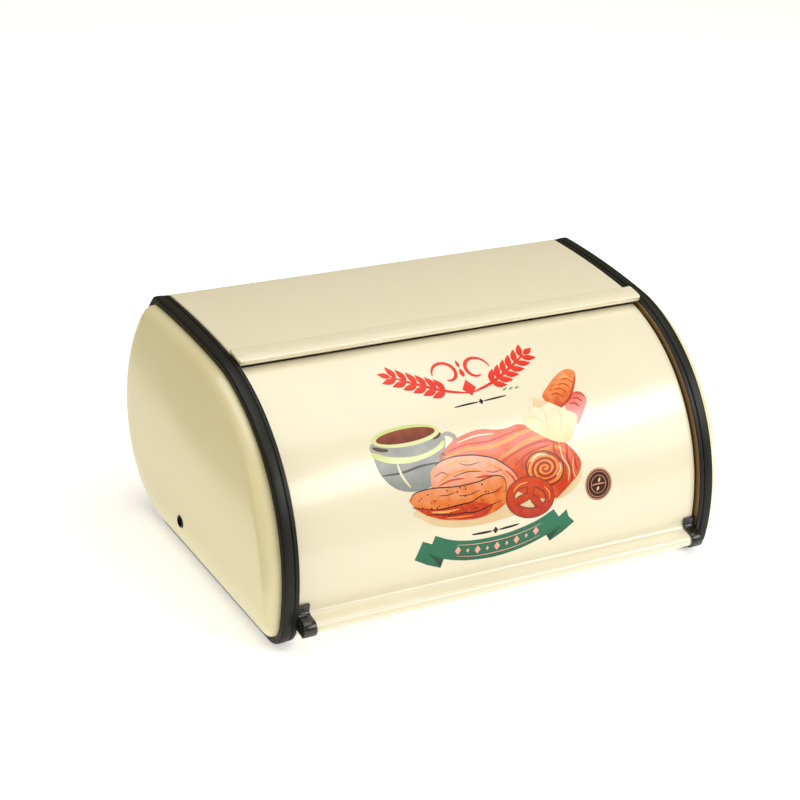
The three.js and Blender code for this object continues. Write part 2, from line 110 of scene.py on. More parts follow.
def outline(angles, inset=0.0):
    """Points of the outline that face in these directions, pulled in by inset."""
    which = np.searchsorted(ARC_ENDS, np.asarray(angles) - 1e-9)
    return ARC_CENTRES[which] + facing(angles) * (ARC_RADII[which] - inset)[:, None]


def outline_angles(start, end, turn=3.0, run=6.0):
    """Directions along the outline, no more than a turn in degrees and a run in mm apart."""
    angles = []
    for radius, low, high in zip(ARC_RADII, ARC_STARTS, ARC_ENDS):
        a, b = max(low, start), min(high, end)
        if b > a:
            steps = max(1, math.ceil(max((b - a) / turn, radius * math.radians(b - a) / run)))
            angles.extend(np.linspace(a, b, steps, endpoint=False))
    return np.array([*angles, end])


# Inner outlines: half planes at support distances about a core point, so that every one of them
# has a point on each of the same rays and they can be lofted.
CORE = np.array([0.0, 72.0])
FACES = np.linspace(-90, 270, 721)
SUPPORT = ((outline(FACES) - CORE) * facing(FACES)).sum(axis=1)
ends = outline(np.array([-90.0, 270.0]))
flat = np.linspace(ends[1], ends[0], 24, endpoint=False)[1:]
rim = np.concatenate([outline(outline_angles(-90, 270, 4.0, 4.0)), flat])
RAYS = np.degrees(np.arctan2(*(rim - CORE).T[::-1]))


def reach(distances, angles):
    towards = np.cos(np.radians(angles[:, None] - FACES))
    meets = towards > 0.001
    return np.where(meets, distances / np.where(meets, towards, 1), np.inf).min(axis=1)


def inner_outline(inset, rounding=0.0):
    """The outline pulled in by inset, one number or one for each of FACES, with round corners."""
    distances = SUPPORT - inset - rounding
    if rounding > 0:
        around = np.arange(0, 360, 0.5)
        towards = np.cos(np.radians(FACES[:, None] - around))
        distances = rounding + (reach(distances, around) * towards).max(axis=1)
    return CORE + facing(RAYS) * reach(distances, RAYS)[:, None]


# -------------------------------------------- lines and sections
def arc(centre, radius, start, end, steps):
    return np.asarray(centre) + radius * facing(np.linspace(start, end, steps + 1))


def filleted(rows, closed=True, steps=5):
    """A line of (a, b, radius) corners, each turned into an arc of that radius."""
    points = np.array([row[:2] for row in rows], float)
    out = []
    for i, (_, _, radius) in enumerate(rows):
        if radius <= 0 or (not closed and i in (0, len(rows) - 1)):
            out.append(points[i])
            continue
        before = points[i - 1] - points[i]
        after = points[(i + 1) % len(rows)] - points[i]
        u, w = before / np.linalg.norm(before), after / np.linalg.norm(after)
        half = math.acos(max(-1.0, min(1.0, float(u @ w)))) / 2
        if math.pi / 2 - half < 0.01:
            out.append(points[i])
            continue
        room = 0.49 * min(np.linalg.norm(before), np.linalg.norm(after))
        radius = min(radius, room * math.tan(half))
        middle = points[i] + (u + w) / np.linalg.norm(u + w) * radius / math.sin(half)
        first, last = points[i] + u * radius / math.tan(half), points[i] + w * radius / math.tan(half)
        a, b = math.atan2(*(first - middle)[::-1]), math.atan2(*(last - middle)[::-1])
        turn = (b - a + math.pi) % (2 * math.pi) - math.pi
        for k in range(steps + 1):
            t = a + turn * k / steps
            out.append(middle + radius * np.array([math.cos(t), math.sin(t)]))
    return np.array(out)


def strip(line, thickness):
    """A sheet's section: both sides of its middle line, as a loop with rounded edges."""
    along = np.gradient(line, axis=0)
    along /= np.linalg.norm(along, axis=1)[:, None]
    side = np.stack([-along[:, 1], along[:, 0]], axis=1) * thickness / 2
    caps = []
    for point, tangent in ((line[-1], along[-1]), (line[0], -along[0])):
        base = math.degrees(math.atan2(tangent[1], tangent[0]))
        caps.append(arc(point, thickness / 2, base + 90, base - 90, 4)[1:-1])
    return np.concatenate([line + side, caps[0], (line - side)[::-1], caps[1]])


def u_section(half_width, inset, flange, bend=1.3, spread=6):
    """Middle line of a sheet across the box: a flange, a bend, the width, a bend, a flange."""
    middle = inset + SHEET / 2
    x = half_width - SHEET / 2
    line = filleted([(-x, flange, 0), (-x, middle, bend), (x, middle, bend), (x, flange, 0)],
                    closed=False, steps=6)
    gap = int(np.argmax(np.linalg.norm(np.diff(line, axis=0), axis=1)))
    fill = np.linspace(line[gap], line[gap + 1], spread + 1)[1:-1]
    return np.insert(line, gap + 1, fill, axis=0)


# -------------------------------------------- meshes
def linked(name, data):
    made = bpy.data.objects.new(name, data)
    bpy.context.scene.collection.objects.link(made)
    return made


def make(name, points, faces, material, body, replaces=(), slot=None, sharp=38):
    """A piece from points in millimetres. It rides on a body, and may stand for CAD nodes."""
    mesh = bpy.data.meshes.new(name)
    mesh.from_pydata([tuple(p) for p in np.asarray(points) * MM], [], faces)
    bm = bmesh.new()
    bm.from_mesh(mesh)
    bmesh.ops.remove_doubles(bm, verts=bm.verts, dist=MERGE)
    bmesh.ops.dissolve_degenerate(bm, edges=bm.edges, dist=MERGE)
    bmesh.ops.recalc_face_normals(bm, faces=bm.faces)
    bm.to_mesh(mesh)
    bm.free()
    mesh.shade_smooth()
    mesh.set_sharp_from_angle(angle=math.radians(sharp))
    mesh.materials.append(material)
    piece = linked(name, mesh)
    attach(piece, body)
    if replaces:
        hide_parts(*replaces)
    return piece


def ring_faces(count, size, loop=False):
    """Quads between rings of equal size, each ring closed on itself."""
    faces = []
    for k in range(count if loop else count - 1):
        a, b = k * size, (k + 1) % count * size
        faces.extend((a + i, a + (i + 1) % size, b + (i + 1) % size, b + i) for i in range(size))
    return faces


def strip_caps(count, size, sides):
    """Quads that close the two ends of a swept strip, whose line has that many points a side."""
    faces = []
    for start in (0, (count - 1) * size):
        ring = [start + i for i in range(size)]
        left, right = ring[:sides], ring[size - sides - 3:size - 3][::-1]
        faces.extend((left[i], left[i + 1], right[i + 1], right[i]) for i in range(sides - 1))
        faces.append((left[-1], *ring[sides:sides + 3], right[-1]))
        faces.append((left[0], right[0], *ring[size - 3:]))
    return faces


def sweep(line, thickness, path, angles):
    """A sheet section in (x, inset), carried along (y, z) stations that face in given directions."""
    section = strip(line, thickness)
    inward = -facing(angles)
    x = np.broadcast_to(section[:, 0], (len(path), len(section)))
    yz = path[:, None, :] + inward[:, None, :] * section[None, :, 1, None]
    points = np.concatenate([x[..., None], yz], axis=2).reshape(-1, 3)
    faces = ring_faces(len(path), len(section)) + strip_caps(len(path), len(section), len(line))
    return points, faces


def loft_x(rings):
    """Points of side-view rings given as (x, ring)."""
    return np.concatenate([np.column_stack([np.full(len(ring), x), ring]) for x, ring in rings])


def closed_loft(rings):
    """Points and faces of side-view rings with both ends closed."""
    size, count = len(rings[0][1]), len(rings)
    ends = [tuple(range(size)), tuple(range((count - 1) * size, count * size))]
    return loft_x(rings), ring_faces(count, size) + ends


def mirrored(points):
    return np.asarray(points) * np.array([-1.0, 1.0, 1.0])


def pair(name, points, faces, material, body, **options):
    """The same piece at both ends. A replaced node is named without its side."""
    nodes = options.pop("nodes", ())
    return [make(f"{side}_{name}", placed, faces, material, body,
                 replaces=[f"{side}_{node}" for node in nodes], **options)
            for side, placed in (("right", points), ("left", mirrored(points)))]


# -------------------------------------------- materials
def new_material(name, roughness, metallic=0.0, coat=0.0, coat_roughness=0.1):
    material = bpy.data.materials.new(name)
    material.use_nodes = True
    shader = material.node_tree.nodes["Principled BSDF"]
    shader.inputs["Roughness"].default_value = roughness
    shader.inputs["Metallic"].default_value = metallic
    shader.inputs["Coat Weight"].default_value = coat
    shader.inputs["Coat Roughness"].default_value = coat_roughness
    return material, material.node_tree, shader


def node(tree, kind, inputs=None, **settings):
    made = tree.nodes.new(kind)
    for name, value in settings.items():
        setattr(made, name, value)
    for name, value in (inputs or {}).items():
        if isinstance(value, bpy.types.NodeSocket):
            tree.links.new(value, made.inputs[name])
        else:
            made.inputs[name].default_value = value
    return made


def object_noise(tree, scale, detail=2.0, stretch=(1.0, 1.0, 1.0)):
    """Noise over the object in its own space; scale is in cells for each metre."""
    place = node(tree, "ShaderNodeTexCoord")
    scaled = node(tree, "ShaderNodeMapping", {"Vector": place.outputs["Object"], "Scale": stretch})
    return node(tree, "ShaderNodeTexNoise", {"Vector": scaled.outputs["Vector"], "Scale": scale,
                                             "Detail": detail}).outputs["Fac"]


def base_colour(tree, shader, factor, stops):
    made = node(tree, "ShaderNodeValToRGB", {"Fac": factor})
    elements = made.color_ramp.elements
    while len(elements) < len(stops):
        elements.new(0.5)
    for element, (position, colour) in zip(elements, stops):
        element.position = position
        element.color = (*colour, 1.0)
    tree.links.new(made.outputs["Color"], shader.inputs["Base Color"])


def varied(tree, shader, factor, low, high):
    """A base colour that wanders between two with a noise."""
    base_colour(tree, shader, factor, [(0.3, low), (0.7, high)])


def bump(tree, shader, height, strength, distance):
    made = node(tree, "ShaderNodeBump",
                {"Height": height, "Strength": strength, "Distance": distance})
    tree.links.new(made.outputs["Normal"], shader.inputs["Normal"])
    tree.links.new(made.outputs["Normal"], shader.inputs["Coat Normal"])


def enamel(name, low, high):
    """Glossy cream powder coat: a faint orange peel, and cloudy variation in colour."""
    material, tree, shader = new_material(name, 0.24, coat=0.35, coat_roughness=0.12)
    varied(tree, shader, object_noise(tree, 14.0, 3.0), low, high)
    bump(tree, shader, object_noise(tree, 420.0), 0.12, 0.0002)
    return material


def plastic(name, roughness, specular):
    """Black moulded plastic with a fine grain."""
    material, tree, shader = new_material(name, roughness)
    shader.inputs["Specular IOR Level"].default_value = specular
    varied(tree, shader, object_noise(tree, 60.0, 3.0), (0.0095, 0.0105, 0.0085),
           (0.0145, 0.0155, 0.0125))
    bump(tree, shader, object_noise(tree, 1600.0), 0.25, 0.00012)
    return material


def zinc():
    """Zinc-plated steel with fine rolled streaks."""
    material, tree, shader = new_material("zinc_steel", 0.34, metallic=1.0)
    streaks = object_noise(tree, 240.0, 4.0, stretch=(1.0, 1.0, 9.0))
    varied(tree, shader, streaks, (0.46, 0.47, 0.48), (0.68, 0.69, 0.70))
    bump(tree, shader, streaks, 0.2, 0.0001)
    return material


CREAM = enamel("cream_enamel", (0.845, 0.785, 0.59), (0.86, 0.805, 0.616))
# The ends get the body's cream made yellower: painted shade, for the warm shade that falls on them.
SHADED_END_CREAM = enamel("end_enamel_painted_shade", (0.85, 0.785, 0.485), (0.865, 0.805, 0.51))
# Dark brown enamel for the flange beside the hoops: painted shade, not the paint's own colour.
FLANGE_SHADE = enamel("flange_painted_shade", (0.26, 0.15, 0.06), (0.31, 0.185, 0.078))
BLACK, CLIP_BLACK = plastic("black_plastic", 0.4, 0.22), plastic("clip_plastic", 0.24, 0.6)
ZINC = zinc()


# -------------------------------------------- hoops
# Section in (distance in from the outer side, inset, rounding): a crowned band, a groove and a lip
# with a ledge that covers the edge of the end's flange.
HOOP_WIDTH = HOOP_OUT - HOOP_IN
HOOP_SECTION = [(0, HOOP_DEPTH, 0.4), (0, 0.15, 1.3), (3.4, 0, 12), (6.45, 0.25, 0.35), (6.65, 1.0, 0.2),
                (7.2, 1.0, 0.2), (7.4, 0.35, 0.3), (HOOP_WIDTH, 0.5, 0.4), (HOOP_WIDTH, LIP_DEPTH, 0.3),
                (HOOP_WIDTH - LIP_WIDTH, LIP_DEPTH, 0.2), (HOOP_WIDTH - LIP_WIDTH, HOOP_DEPTH, 0.4)]
INNER_ROUNDING = 4.0


def hoops():
    rings = []
    for across, inset in filleted(HOOP_SECTION):
        rounding = INNER_ROUNDING if inset > (LIP_DEPTH + HOOP_DEPTH) / 2 else 0.0
        rings.append((HOOP_OUT - across, inner_outline(inset, rounding)))
    pair("hoop", loft_x(rings), ring_faces(len(rings), len(RAYS), loop=True), BLACK, "box",
         nodes=["trim_hoop"], slot="black_plastic")


# -------------------------------------------- domed ends
DOME_SIDE, DOME_BELOW = 8.5, 29.0
DOME_ROUNDING = 12.0
FACE_CROWN = 1.2
BUSH_HOLE_R = 4.3
BORE_DEPTH = 30.0


def end_skin(thickness):
    """Rings of one side of a pressed end, from its open rim to the middle of its face.

    The thickness is 0 for the outer side and PANEL for the inner one."""
    down = np.maximum(0, -facing(FACES)[:, 1]) ** 2
    pull = DOME_SIDE + (DOME_BELOW - DOME_SIDE) * down
    start = HOOP_DEPTH + GAP + thickness
    top = END_X - thickness
    rings = [(FLANGE_X + PANEL - thickness, inner_outline(start, INNER_ROUNDING))]
    for a in np.radians(np.linspace(0, 90, 25)):
        curl = 1 - math.cos(a)
        rounding = INNER_ROUNDING + (DOME_ROUNDING - INNER_ROUNDING) * curl
        inset = start + curl * (pull - thickness / 2)
        x = HOOP_OUT + (top - HOOP_OUT - FACE_CROWN) * math.sin(a)
        rings.append((x, inner_outline(inset, rounding)))
    edge = rings[-1][1]
    middle = edge.mean(axis=0)
    for share in np.linspace(0, 1, 15)[1:] ** 0.7:
        crown = FACE_CROWN * math.sin(share * math.pi / 2)
        rings.append((top - FACE_CROWN + crown, middle + (edge - middle) * (1 - share)))
    return rings


def bore(piece, side, radius):
    """Cuts the hole for the bush through an end."""
    mesh = bpy.data.meshes.new("cutter")
    place = Matrix.Translation((side * END_X * MM, PIVOT[0] * MM, PIVOT[1] * MM))
    bm = bmesh.new()
    bmesh.ops.create_cone(bm, cap_ends=True, segments=72, radius1=radius * MM, radius2=radius * MM,
                          depth=BORE_DEPTH * MM, matrix=place @ Matrix.Rotation(math.pi / 2, 4, "Y"))
    bm.to_mesh(mesh)
    bm.free()
    cutter = linked("cutter", mesh)
    cut = piece.modifiers.new("bore", "BOOLEAN")
    cut.operation, cut.object, cut.solver = "DIFFERENCE", cutter, "EXACT"
    piece_now = piece.evaluated_get(bpy.context.evaluated_depsgraph_get())
    drilled = bpy.data.meshes.new_from_object(piece_now)
    piece.modifiers.clear()
    piece.data = drilled
    drilled.name = piece.name
    bpy.data.objects.remove(cutter)


def end_panels():
    edge = inner_outline(LIP_DEPTH + GAP)
    flange = [(x, edge) for x in (FLANGE_X + PANEL, FLANGE_X)]
    rings = [*end_skin(0.0)[::-1], *flange, *end_skin(PANEL)]
    shells = pair("end_shell", loft_x(rings), ring_faces(len(rings), len(RAYS)), SHADED_END_CREAM, "box",
                  nodes=["end_panel"], slot="cream_enamel")
    for shell, side in zip(shells, (1, -1)):
        bore(shell, side, BUSH_HOLE_R)
        shell.data.materials.append(FLANGE_SHADE)
        places = shell.data.vertices
        # the flat flange beside the hoop is painted dark brown: painted shade for the deep shade there
        for face in shell.data.polygons:
            if max(abs(places[i].co.x) for i in face.vertices) < (FLANGE_X + PANEL + CLOSE) * MM:
                face.material_index = 1


# -------------------------------------------- body sheet and bead
def body_sheet():
    angles = outline_angles(BODY_START, BODY_END)
    points, faces = sweep(u_section(BODY_X, BODY_INSET, BODY_FLANGE), SHEET, outline(angles), angles)
    make("body_shell", points, faces, CREAM, "box", replaces=["top_back_panel"], slot="cream_enamel")


# The bead in (run forwards, height) from where its front roll starts: a soft step up from the
# sheet, a crowned top, the front roll with the seam of the fold, and a flat underside.
BEAD_FRONT = 102.2
BEAD_LOW_R, BEAD_OVER_R = 121.8, 123.4
BEAD_BACK_RUN, BEAD_FRONT_RUN = -12.4, 1.8
BEAD_SECTION = [(1.8, 3.8, 2.0), (-3.6, 4.0, 14), (-11.4, 3.2, 1.3), (-12.4, 1.4, 0.4), (-12.4, 0, 0.2),
                (1.8, 0, 1.3), (1.8, 1.1, 0.1), (1.5, 1.3, 0.1), (1.8, 1.5, 0.1)]
BEAD_BACK_CORNER, BEAD_FRONT_CORNER = 2.5, 2.6
BEAD_END_R, BEAD_THINNING = 1.0, 0.72    # rounding of its ends, in height
BEAD_STEP = 9.0, 10.0   # distances from its ends where it steps down beside the end panels


def corner_cut(radius, from_end):
    """How far a rounded corner has drawn back, at a distance from the end."""
    inside = max(0.0, radius - from_end)
    return radius - math.sqrt(radius ** 2 - inside ** 2)


def bead():
    section = filleted(BEAD_SECTION, steps=6)
    over = BEAD_OVER_R - BEAD_LOW_R
    rounding = np.concatenate([[0, 0.15, 0.5, 1.0], np.linspace(1.6, BEAD_BACK_CORNER + 1, 6)])
    right = [(BEAD_X - d, d) for d in rounding] + list(zip((BODY_X + 0.2, BODY_X - 0.3), BEAD_STEP))
    stations = [*[(-x, d) for x, d in right], (0.0, BEAD_STEP[1]), *right[::-1]]
    rings = []
    for x, from_end in stations:
        run, height = section.T
        front = BEAD_FRONT_RUN - corner_cut(BEAD_FRONT_CORNER, from_end)
        back = BEAD_BACK_RUN + corner_cut(BEAD_BACK_CORNER, from_end)
        share = (run - BEAD_BACK_RUN) / (BEAD_FRONT_RUN - BEAD_BACK_RUN)
        run = back + share * (front - back)
        low = over if abs(x) > BODY_X else 0.0
        height = low + height * (1 - low / height.max())
        middle = (low + height.max()) / 2
        height = middle + (height - middle) * (1 - BEAD_THINNING * corner_cut(BEAD_END_R, from_end))
        radius = BEAD_LOW_R + height
        angle = BEAD_FRONT + np.degrees(run / BEAD_LOW_R)
        rings.append((x, PIVOT + facing(angle) * radius[:, None]))
    make("bead", *closed_loft(rings), CREAM, "box", slot="cream_enamel")


# -------------------------------------------- floor
FLOOR_INSET, FLOOR_FLANGE = 1.6, 7.0
FLOOR_FRONT_R, FLOOR_LIP = 11.0, 7.0
FLOOR_BACK = -58.0


def floor_panel():
    back = outline_angles(-90, FLOOR_BACK)[::-1]
    bend = np.array([ARC_CENTRES[6][0], FLOOR_INSET + FLOOR_FRONT_R])
    front = np.linspace(-90, -180, 13)
    lip_top = bend + [-FLOOR_FRONT_R, FLOOR_LIP]
    path = np.concatenate([outline(back, FLOOR_INSET), bend + FLOOR_FRONT_R * facing(front), [lip_top]])
    line = u_section(FLOOR_X, 0, FLOOR_FLANGE)
    points, faces = sweep(line, SHEET, path, np.array([*back, *front, -180]))
    make("floor_shell", points, faces, CREAM, "box", replaces=["floor_panel"], slot="cream_enamel")


# -------------------------------------------- lid
HEM, HEM_BEND = 5.0, 2.0
FLARE_R, FLARE_TURN, FLARE_RUN = 4.8, 82.0, 4.4
ROLL_R, ROLL_TURN = 4.0, 215.0
LID_FLANGE, LID_BEND = 1.6, 1.1


def bend_on(path, radius, to, steps):
    """Carries a path on round a bend; a negative radius curls it outwards."""
    point, angle = path[-1]
    centre = point - facing(angle) * radius
    for a in np.linspace(angle, to, steps + 1)[1:]:
        path.append((centre + facing(a) * radius, a))


def lip_path(path):
    """The lid's lower edge: a flare outwards, a short run and a roll."""
    flare_to = LID_BOTTOM - FLARE_TURN
    bend_on(path, -FLARE_R, flare_to, 14)
    point, angle = path[-1]
    path.append((point + facing(angle + 90) * FLARE_RUN, angle))
    bend_on(path, ROLL_R, flare_to + ROLL_TURN, 28)


def lid_sheet():
    top = PIVOT + facing(LID_TOP) * LID_R
    corner = top - facing(LID_TOP) * HEM_BEND
    hem_angle = LID_TOP - 90
    low = corner + facing(hem_angle) * HEM_BEND - facing(LID_TOP) * (HEM - HEM_BEND)
    path = [(low, hem_angle)]
    path.extend((corner + facing(a) * HEM_BEND, a) for a in np.linspace(hem_angle, LID_TOP, 8))
    bend_on(path, LID_R, LID_BOTTOM, 70)
    lip_path(path)
    line = u_section(LID_X, 0.0, LID_FLANGE, bend=LID_BEND, spread=8)
    points, faces = sweep(line, SHEET, np.array([p for p, _ in path]), np.array([a for _, a in path]))
    make("lid_shell", points, faces, CREAM, "roll_lid", replaces=["lid"], slot="cream_enamel")


# -------------------------------------------- clips on the lid's lip
CLIP_TOP = 178.6
CLIP_WALL, TAB_WALL = 1.2, 1.8
CLIP_EDGE = 0.45
CHEEK_INSET = 0.2
CHEEK_LOW, CHEEK_IN = LID_BOTTOM + 6, 2.0
OPEN_END = 7      # stations of the lip's roll that the clip leaves open


def clips():
    path = [(PIVOT + facing(CLIP_TOP) * LID_R, CLIP_TOP)]
    bend_on(path, LID_R, LID_BOTTOM, 8)
    tab = len(path)
    lip_path(path)
    path = path[:-OPEN_END]
    points, angles = np.array([p for p, _ in path]), np.array([a for _, a in path])
    walls = np.where(np.arange(len(path)) < tab, TAB_WALL, CLIP_WALL)
    outer = points + facing(angles) * (GAP + walls)[:, None]
    inner = points + facing(angles) * GAP
    size = len(path)
    edge = CLIP_EDGE
    rings = []
    for x, shrink in ((CLIP_IN, edge), (CLIP_IN + edge * 0.3, edge * 0.3), (CLIP_IN + edge, 0),
                      (CLIP_OUT - edge, 0), (CLIP_OUT - edge * 0.3, edge * 0.3), (CLIP_OUT, edge)):
        rings.append((x, np.concatenate([outer - facing(angles) * shrink, inner[::-1]])))
    faces = ring_faces(len(rings), 2 * size)
    for start in (0, (len(rings) - 1) * 2 * size):
        faces.extend((start + i, start + i + 1, start + 2 * size - 2 - i, start + 2 * size - 1 - i)
                     for i in range(size - 1))
    pair("clip_wall", loft_x(rings), faces, CLIP_BLACK, "roll_lid", nodes=["lid_clip"],
         slot="black_plastic")
    rim_line = points + facing(angles) * (GAP + CLIP_WALL / 2)
    behind = PIVOT + facing(np.array([CHEEK_LOW, CLIP_TOP])) * (LID_R - CHEEK_IN)
    cheek = np.concatenate([rim_line, behind])
    inside, outside = LID_X + GAP, CLIP_OUT - CHEEK_INSET
    pair("clip_cheek", *closed_loft([(inside, cheek), (outside, cheek)]), CLIP_BLACK, "roll_lid",
         slot="black_plastic")


# -------------------------------------------- pivots
def turned(profile, sides=72):
    """A piece turned on the pivot's axis, from a closed (x, radius) section with roundings."""
    section = filleted(profile, steps=4)
    around = facing(np.linspace(0, 360, sides, endpoint=False))
    rings = [(x, PIVOT + around * max(radius, CLOSE)) for x, radius in section]
    return loft_x(rings), ring_faces(len(rings), sides, loop=True)


BORE_R, NOSE_R, PIN_R, HEAD_R, WASHER_R = 2.85, 4.0, 2.5, 5.0, 6.0
SHOULDER_X = END_X - 3.8
TIP_DEPTH = 2.0
HEAD = 1.6


def pivots():
    bush_low, bush_high = corners("right_pivot_bush")
    pin_low, pin_high = corners("right_pivot_pin")
    washer_low, washer_high = corners("right_pivot_washer")
    bush_r, tip, head = (bush_high[2] - bush_low[2]) / 2, pin_high[0] - TIP_DEPTH, pin_low[0] + HEAD
    parts = {
        "pivot_bush": ([(bush_low[0], BORE_R, 0.2), (bush_low[0], bush_r, 0.5), (SHOULDER_X, bush_r, 0.5),
                        (SHOULDER_X, NOSE_R, 0.2), (bush_high[0], NOSE_R, 0.5),
                        (bush_high[0], BORE_R, 0.4)], BLACK, "box", "black_plastic"),
        "pivot_washer": ([(washer_low[0], BORE_R, 0.1), (washer_low[0], WASHER_R, 0.2),
                          (washer_high[0], WASHER_R, 0.2), (washer_high[0], BORE_R, 0.1)],
                         ZINC, "roll_lid", "zinc_steel"),
        "pivot_pin": ([(pin_low[0], 0, 0), (pin_low[0], HEAD_R - 0.5, 1.0), (head - 0.4, HEAD_R, 0.4),
                       (head, HEAD_R, 0.2), (head, PIN_R, 0.2), (tip, PIN_R, 0.7), (tip, 0, 0)],
                      ZINC, "roll_lid", "zinc_steel"),
    }
    for name, (profile, material, body, slot) in parts.items():
        points, faces = turned(profile)
        pair(name + "_fine", points, faces, material, body, nodes=[name], slot=slot)


def steel_node(name, width):
    """A CAD node shown as it is, in zinc-plated steel with its edges eased."""
    piece = frame["nodes"][name]
    piece.data.materials.clear()
    piece.data.materials.append(ZINC)
    piece.modifiers.new("weld", "WELD").merge_threshold = MERGE
    edge = piece.modifiers.new("edge", "BEVEL")
    edge.width, edge.segments, edge.limit_method = width * MM, 2, "ANGLE"


ARM_EDGE, RIVET_EDGE = 0.25, 0.3


def arms_and_rivets():
    for side in ("right", "left"):
        steel_node(f"{side}_lid_arm", ARM_EDGE)
    for i in range(1, 5):
        steel_node(f"seam_rivet_{i}", RIVET_EDGE)


hoops()
end_panels()
body_sheet()
bead()
floor_panel()
lid_sheet()
clips()
pivots()
arms_and_rivets()


# -------------------------------------------- printed picture
# The print lies on the lid as thin layers. Its outlines are (x, v) in millimetres, where v is the
# distance up the lid from direction 180.
LAYER, FILM = 0.03, 0.02
FILL_STEP = 2.0


def srgb(red, green, blue):
    share = np.array([red, green, blue]) / 255
    return tuple(np.where(share > 0.04045, ((share + 0.055) / 1.055) ** 2.4, share / 12.92))


def ink(name, low, high, noise=0.25, scale=90.0, middle=None):
    """Printed colour under the lid's gloss, from low at a motif's foot to high at its top."""
    material, tree, shader = new_material(f"print_{name}", 0.3, coat=0.16, coat_roughness=0.14)
    shader.inputs["Specular IOR Level"].default_value = 0.25
    tone = node(tree, "ShaderNodeAttribute", attribute_name="tone")
    blot = object_noise(tree, scale, 4.0)
    centred = node(tree, "ShaderNodeMath", {0: blot, 1: 0.5}, operation="SUBTRACT")
    mixed = node(tree, "ShaderNodeMath", {0: centred.outputs[0], 1: noise * 4, 2: tone.outputs["Fac"]},
                 operation="MULTIPLY_ADD")
    stops = [(0.0, srgb(*low)), (1.0, srgb(*high))]
    if middle:
        stops.insert(1, (0.5, srgb(*middle)))
    base_colour(tree, shader, mixed.outputs[0], stops)
    return material


def spline(points, closed=True, steps=5):
    """A smooth line through points."""
    p = np.array(points, float)
    count = len(p)
    spans = count if closed else count - 1
    out = []
    for i in range(spans):
        a, b, c, d = (p[k % count] if closed else p[min(max(k, 0), count - 1)]
                      for k in (i - 1, i, i + 1, i + 2))
        for t in np.linspace(0, 1, steps, endpoint=False):
            out.append(0.5 * (2 * b + (c - a) * t + (2 * a - 5 * b + 4 * c - d) * t ** 2
                              + (3 * b - a - 3 * c + d) * t ** 3))
    if not closed:
        out.append(p[-1])
    return np.array(out)


def ellipse(centre, half_x, half_v, steps=40, lean=0.0):
    t = np.linspace(0, 2 * math.pi, steps, endpoint=False)
    a, b = half_x * np.cos(t), half_v * np.sin(t)
    c, s = math.cos(math.radians(lean)), math.sin(math.radians(lean))
    return np.asarray(centre) + np.column_stack([a * c - b * s, a * s + b * c])


def leaf(foot, tip, width):
    """A pointed grain or leaf between two points."""
    foot, tip = np.array(foot, float), np.array(tip, float)
    along = tip - foot
    side = np.array([-along[1], along[0]]) / np.linalg.norm(along)
    t = np.linspace(0, 1, 8)
    half = width / 2 * np.sin(math.pi * t ** 0.8)
    line = foot + along * t[:, None]
    return np.concatenate([line + side * half[:, None], (line - side * half[:, None])[-2:0:-1]])


def film(name, flat, faces, layer, material):
    """A closed film on the lid from flat (x, v) points and faces."""
    flat = np.asarray(flat, float)
    direction = facing(180 - np.degrees(flat[:, 1] / LID_R))
    sides = []
    for height in (layer * LAYER + FILM, layer * LAYER):
        yz = PIVOT + direction * (LID_R + height)
        sides.append(np.column_stack([flat[:, 0], yz]))
    count = len(flat)
    used = {}
    for face in faces:
        for a, b in zip(face, (*face[1:], face[0])):
            used[frozenset((a, b))] = used.get(frozenset((a, b)), []) + [(a, b)]
    rim = [(a, b, b + count, a + count) for pairs in used.values() if len(pairs) == 1
           for a, b in pairs]
    back = [tuple(i + count for i in reversed(face)) for face in faces]
    piece = make(f"print_{name}", np.concatenate(sides), [*map(tuple, faces), *back, *rim], material,
                 "roll_lid")
    places = np.empty(len(piece.data.vertices) * 3)
    piece.data.vertices.foreach_get("co", places)
    y, z = places.reshape(-1, 3)[:, 1:].T / MM
    run = LID_R * np.radians(180 - np.degrees(np.arctan2(z - PIVOT[1], y - PIVOT[0])) % 360)
    tone = piece.data.attributes.new("tone", "FLOAT", "POINT")
    tone.data.foreach_set("value", (run - run.min()) / np.ptp(run))


def fill(name, outline, layer, material):
    """A filled outline, cut into bands so that it follows the lid's curve."""
    bm = bmesh.new()
    bm.faces.new([bm.verts.new((x, v, 0)) for x, v in outline])
    bmesh.ops.triangulate(bm, faces=bm.faces[:])
    low, high = min(v for _, v in outline), max(v for _, v in outline)
    for v in np.arange(low + FILL_STEP, high, FILL_STEP):
        bmesh.ops.bisect_plane(bm, geom=[*bm.verts, *bm.edges, *bm.faces], plane_co=(0, v, 0),
                               plane_no=(0, 1, 0), dist=1e-4)
    bm.verts.index_update()
    flat = [vert.co[:2] for vert in bm.verts]
    faces = [[vert.index for vert in face.verts] for face in bm.faces]
    bm.free()
    film(name, flat, faces, layer, material)


def stroke(name, lines, layer, material):
    """Strokes of one colour. Each is a (line, width, closed) row; open ones taper to their ends."""
    flat, faces = [], []
    for line, width, closed in lines:
        line = np.asarray(line, float)
        ahead = np.roll(line, -1, axis=0) - np.roll(line, 1, axis=0)
        if not closed:
            ahead = np.gradient(line, axis=0)
        side = np.column_stack([-ahead[:, 1], ahead[:, 0]]) / np.linalg.norm(ahead, axis=1)[:, None]
        t = np.linspace(0, 1, len(line))[:, None]
        half = width / 2 * (np.ones_like(t) if closed else 0.25 + 0.75 * np.sin(math.pi * t) ** 0.6)
        start, count = len(flat), len(line)
        flat.extend([*(line + side * half), *(line - side * half)])
        for i in range(count if closed else count - 1):
            j = (i + 1) % count
            faces.append([start + i, start + j, start + count + j, start + count + i])
    film(name, flat, faces, layer, material)


def open_line(*points):
    return spline(points, closed=False, steps=6)


def mark(width, *points):
    """A row for stroke: a smooth open line through points."""
    return open_line(*points), width, False


